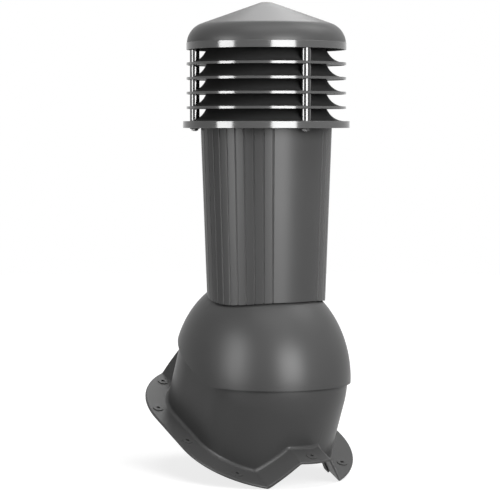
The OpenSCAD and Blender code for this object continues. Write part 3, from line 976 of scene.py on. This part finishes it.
# %% [markdown]
# ## Posts
# Three posts hold the stack together. On each, a sleeve sits between one louvre and the next.
# `spin` with use_duplicate copies the first post to the other two places.

# %% Posts
post_circle = 103.5
post_radius = 7
rod_radius = 3
sleeve_bore = 3.2
cap_raise = 1.25
cap_low = louvre_levels[0] - louvre_edge + 4 * louvre_pitch + cap_raise
cap_boss_up = 7
cap_boss_low = cap_low + cap_boss_up


def at_three_posts(outline, steps=48, soft=0.3):
    foot = pipe_foot + Vector((0, -post_circle * MM, 0))
    bm = turned(outline, foot, steps=steps)
    soften(bm, soft * MM, segments=2)
    bmesh.ops.spin(
        bm, geom=bm.verts[:] + bm.edges[:] + bm.faces[:], cent=pipe_foot, axis=(0, 0, 1),
        dvec=(0, 0, 0), angle=4 * pi / 3, steps=2, use_merge=False, use_duplicate=True,
    )
    return bm


tops = [z - louvre_edge for z in louvre_levels] + [cap_boss_low]
for n, (low, high) in enumerate(zip([ring_top] + louvre_levels, tops), 1):
    sleeves = at_three_posts(tube_outline(sleeve_bore, post_radius, low, high))
    add_piece(
        f"post_sleeves_{n}", sleeves, "head", [sleeve_plastic], [f"sleeves_{n}"]
    )

# %% [markdown]
# A steel rod runs through the sleeves of each post, from the cap down to a nut under the head
# ring. A turning of only six steps is a hexagon, so the nut is a ring like the washer over it.

# %% Rods, washers and nuts
washer = 1.5
nut = 2.2
nut_half = 5
rod_end = 0.8
rod_grip = 14
rod_low = ring_low - washer - nut - rod_end
rod_top = cap_boss_low + rod_grip
rod_outline = [(0, rod_low), (rod_radius, rod_low), (rod_radius, rod_top), (0, rod_top)]
rods = at_three_posts(rod_outline, steps=32)
add_piece("post_rods", rods, "head", [shaded_steel], ["tie_rods"])
washers = at_three_posts(tube_outline(sleeve_bore, post_radius, ring_low - washer, ring_low))
add_piece("post_washers", washers, "head", [seal_rubber], ["rod_washers"])
nut_corner = nut_half / cos(pi / 6)
nut_outline = tube_outline(rod_radius, nut_corner, ring_low - washer - nut, ring_low - washer)
nuts = at_three_posts(nut_outline, steps=6, soft=0.25)
add_piece("post_nuts", nuts, "head", [shaded_steel], ["rod_nuts"])

# %% [markdown]
# ## The cap
# The cap is one turning: a band at the rim, a fine crease, a round shoulder and a shallow cone
# that ends in a small flat tip. Its outline starts on the axis under the cap and ends on the axis
# above it, so the spin closes both poles and the cap gets its wall at once. The band is polished
# and the rest is satin.

# %% Cap
cap_rim = 115.6
cap_band = 10
cap_crease = 0.6
cap_step = 2
cap_shoulder = 31.5
cap_slope = radians(19.5)
cap_tip = 7.5
cap_tip_rise = 0.4
cap_wall = 3
band_skin = 1.2
shoulder_steps = 16


def cap_line(inset):
    centre_z = cap_low + cap_band - cap_step
    centre_r = cap_rim - cap_crease - cap_shoulder
    rho = cap_shoulder - inset
    first, last = asin(cap_step / cap_shoulder), pi / 2 - cap_slope
    turns = [first + i / shoulder_steps * (last - first) for i in range(shoulder_steps + 1)]
    line = [(centre_r + rho * cos(turn), centre_z + rho * sin(turn)) for turn in turns]
    edge, top = line[-1]
    tip = top + (edge - cap_tip) * tan(cap_slope)
    return line + [(cap_tip, tip), (cap_tip / 2, tip + cap_tip_rise * 0.75), (0, tip + cap_tip_rise)]


outer = cap_line(0)
inner = cap_line(cap_wall)
cap_outline = [(cap_rim - cap_wall, cap_low), (cap_rim, cap_low), (cap_rim, cap_low + cap_band)]
cap = turned(inner[::-1] + cap_outline + outer, pipe_foot, closed=False, steps=192)
soften(cap, 0.5 * MM, sharper=50)
paint(cap, 1, lambda r, z: z < cap_low + cap_band and r > cap_rim - band_skin)
add_piece("rain_cap", cap, "head", [skin_plastic, edge_plastic], ["cap"])

# %% [markdown]
# ## Inside the tube
# The duct, its seal, the insulation and the ring that centres the duct are plain turnings.
# They show only from below and through the louvres, so they get the right finish and soft ends.

# %% Duct and its lining
duct_bore = 72.5
duct_start = -20
duct_end = 374.3
seal_low = 125
seal_high = 139
lagging_gap = 0.3
spacer_gap = 1
spacer_thick = 8
spacer_low = skirt_low - spacer_gap - spacer_thick
spacer_top = spacer_low + spacer_thick
duct = tube_outline(duct_bore, duct_radius, duct_start, duct_end)
duct_seal = tube_outline(duct_radius, neck_bore, seal_low, seal_high)
lagging = [
    (duct_radius + lagging_gap, neck_top),
    (tube_radius(neck_top) - tube_wall - lagging_gap, neck_top),
    (tube_radius(spacer_low) - tube_wall - lagging_gap, spacer_low),
    (duct_radius + lagging_gap, spacer_low),
]
spacer = [
    (duct_radius, spacer_low), (tube_radius(spacer_low) - tube_wall, spacer_low),
    (tube_radius(spacer_top) - tube_wall, spacer_top), (duct_radius, spacer_top),
]
for name, outline, node, slot, material in (
    ("duct", duct, "inner_pipe", "duct_plastic", duct_plastic),
    ("duct_seal", duct_seal, "pipe_seal", "seal_rubber", seal_rubber),
    ("duct_lagging", lagging, "insulation", "foam", felt),
    ("duct_spacer", spacer, "centring_ring", "graphite_plastic", skin_plastic),
):
    bm = turned(outline, pipe_foot)
    soften(bm, 0.4 * MM)
    add_piece(name, bm, "hood", [material], [node])

# %% [markdown]
# Four solids of the construction model are plain enough to stay as they are: the roof seal, the
# weather strips and the two pins. They only get their finish.

# %% Materials of the solids that stay
for node, material in {
    "roof_seal": seal_rubber, "weather_strips": felt,
    "pivot_pin_left": bright_steel, "pivot_pin_right": bright_steel,
}.items():
    mesh = frame["nodes"][node].data
    mesh.materials.clear()
    mesh.materials.append(material)
    print(node, "gets", material.name)

# %% [markdown]
# ## Lamps and background
# Every upright cylinder in the photo mirrors two tall lamps as two bright bars, one ahead on the
# right and one on the left, so the bearings and widths of these lamps are read from the bars.
# They only make reflections. The light itself comes from a key lamp on the right, which stands
# higher, so that each rim shades the wall below it, and from a faint one on the left. A lamp
# behind gives the cap's cone and the flange their sheen, and one on the right and one overhead
# lift what would be too dark. One helper makes them all, with two switches: whether the lamp
# lights matt surfaces, and whether glossy ones mirror it.

# %% Softboxes
lamp_aim = Vector((0, pipe_foot.y, 0.30))


def softbox(name, bearing, distance, height, width, tall, radiance, lights=True, mirrored=True):
    """A lamp aimed at the tube. Its bearing is in degrees, to the right from the camera's side."""
    away = -look * cos(radians(bearing)) + side * sin(radians(bearing))
    data = bpy.data.lights.new(name, "AREA")
    data.shape = "RECTANGLE"
    data.size = width
    data.size_y = tall
    data.energy = radiance * pi * width * tall
    lamp = bpy.data.objects.new(name, data)
    bpy.context.scene.collection.objects.link(lamp)
    lamp.location = Vector((0, pipe_foot.y, 0)) + away * distance + Vector((0, 0, height))
    lamp.rotation_euler = (lamp_aim - lamp.location).to_track_quat("-Z", "Y").to_euler()
    lamp.visible_diffuse = lights
    lamp.visible_glossy = mirrored
    print(name, "at", tuple(round(x, 2) for x in lamp.location), round(data.energy), "W")


softbox(
    "key_right", bearing=28, distance=2.2, height=1.15, width=1.2, tall=1.2, radiance=10.5,
    mirrored=False,
)
softbox(
    "bar_right", bearing=23.5, distance=2.2, height=0.62, width=1.36, tall=1.5, radiance=21.0,
    lights=False,
)
softbox(
    "key_left", bearing=-58, distance=2.2, height=1.3, width=0.92, tall=1.2, radiance=0.4,
    mirrored=False,
)
softbox(
    "bar_left", bearing=-58, distance=2.2, height=0.62, width=0.92, tall=1.5, radiance=18.5,
    lights=False,
)
softbox(
    "top_rear", bearing=177, distance=2.2, height=1.9, width=0.7, tall=0.6, radiance=7.0,
    lights=False,
)
softbox("side_right", bearing=105, distance=1.2, height=2.1, width=1.0, tall=1.0, radiance=5.5)
softbox("overhead", bearing=5, distance=0.7, height=2.4, width=1.8, tall=1.4, radiance=3.6)

# %% [markdown]
# The background is pure white, but the object must not be lit by it. Light Path tells the
# shader which kind of ray asks: a ray from the camera, or a mirrored or refracted one, sees
# white, and a ray that gathers light sees a dim grey studio. The floor needs the same test, so
# a helper builds it.

# %% Surroundings
studio_grey = 0.17
world = bpy.data.worlds.new("surroundings")
bpy.context.scene.world = world
world.use_nodes = True
sky = world.node_tree


def sees_background(tree):
    path = tree.nodes.new("ShaderNodeLightPath")
    seen = path.outputs["Is Camera Ray"]
    for kind in ("Is Glossy Ray", "Is Transmission Ray"):
        either = tree.nodes.new("ShaderNodeMath")
        either.operation = "MAXIMUM"
        tree.links.new(seen, either.inputs[0])
        tree.links.new(path.outputs[kind], either.inputs[1])
        seen = either.outputs["Value"]
    return seen


dim = sky.nodes["Background"]
dim.inputs["Color"].default_value = (studio_grey, studio_grey, studio_grey, 1)
white = sky.nodes.new("ShaderNodeBackground")
white.inputs["Color"].default_value = (1, 1, 1, 1)
mix = sky.nodes.new("ShaderNodeMixShader")
sky.links.new(sees_background(sky), mix.inputs["Fac"])
sky.links.new(dim.outputs["Background"], mix.inputs[1])
sky.links.new(white.outputs["Background"], mix.inputs[2])
sky.links.new(mix.outputs["Shader"], sky.nodes["World Output"].inputs["Surface"])
print("surroundings have", len(sky.nodes), "nodes")

# %% [markdown]
# The floor is a wide pale sheet under the flange's lowest corner. It is matt, so the lamps and
# the object's shadow fall on it. The camera and mirrored rays see white added to it, so that it
# melts into the background and only a faint shadow is left.

# %% Floor
floor_radius = 4
floor_bm = bmesh.new()
bmesh.ops.create_circle(floor_bm, cap_ends=True, radius=floor_radius, segments=64)
bmesh.ops.translate(floor_bm, verts=floor_bm.verts, vec=(0, 0, cad_box[0][2]))
mesh = bpy.data.meshes.new("floor")
floor_bm.to_mesh(mesh)
floor_bm.free()
floor = bpy.data.objects.new("floor", mesh)
bpy.context.scene.collection.objects.link(floor)
print("floor at", round(cad_box[0][2], 3), "m")

# %% [markdown]
# The floor's material is a matt paper with a white glow added. The glow grows a little with the
# distance from the middle, because the lamps reach less far out, and only the rays that see the
# background see it.

# %% Paper for the floor
paper_grey = 0.35
fade_start = 0.3
fade_end = 1.3
white_near = 0.8
white_far = 1.0
paper = bpy.data.materials.new("paper")
paper.use_nodes = True
tree = paper.node_tree
tree.nodes.remove(tree.nodes["Principled BSDF"])
matt = tree.nodes.new("ShaderNodeBsdfDiffuse")
matt.inputs["Color"].default_value = (paper_grey, paper_grey, paper_grey, 1)
glow = tree.nodes.new("ShaderNodeEmission")
place = tree.nodes.new("ShaderNodeTexCoord")
distance = tree.nodes.new("ShaderNodeVectorMath")
distance.operation = "LENGTH"
fade = tree.nodes.new("ShaderNodeMapRange")
fade.inputs["From Min"].default_value = fade_start
fade.inputs["From Max"].default_value = fade_end
fade.inputs["To Min"].default_value = white_near
fade.inputs["To Max"].default_value = white_far
only_seen = tree.nodes.new("ShaderNodeMath")
only_seen.operation = "MULTIPLY"
both = tree.nodes.new("ShaderNodeAddShader")
tree.links.new(place.outputs["Object"], distance.inputs[0])
tree.links.new(distance.outputs["Value"], fade.inputs["Value"])
tree.links.new(fade.outputs["Result"], only_seen.inputs[0])
tree.links.new(sees_background(tree), only_seen.inputs[1])
tree.links.new(only_seen.outputs["Value"], glow.inputs["Strength"])
tree.links.new(matt.outputs["BSDF"], both.inputs[0])
tree.links.new(glow.outputs["Emission"], both.inputs[1])
tree.links.new(both.outputs["Shader"], tree.nodes["Material Output"].inputs["Surface"])
mesh.materials.append(paper)
print("paper has", len(tree.nodes), "nodes")
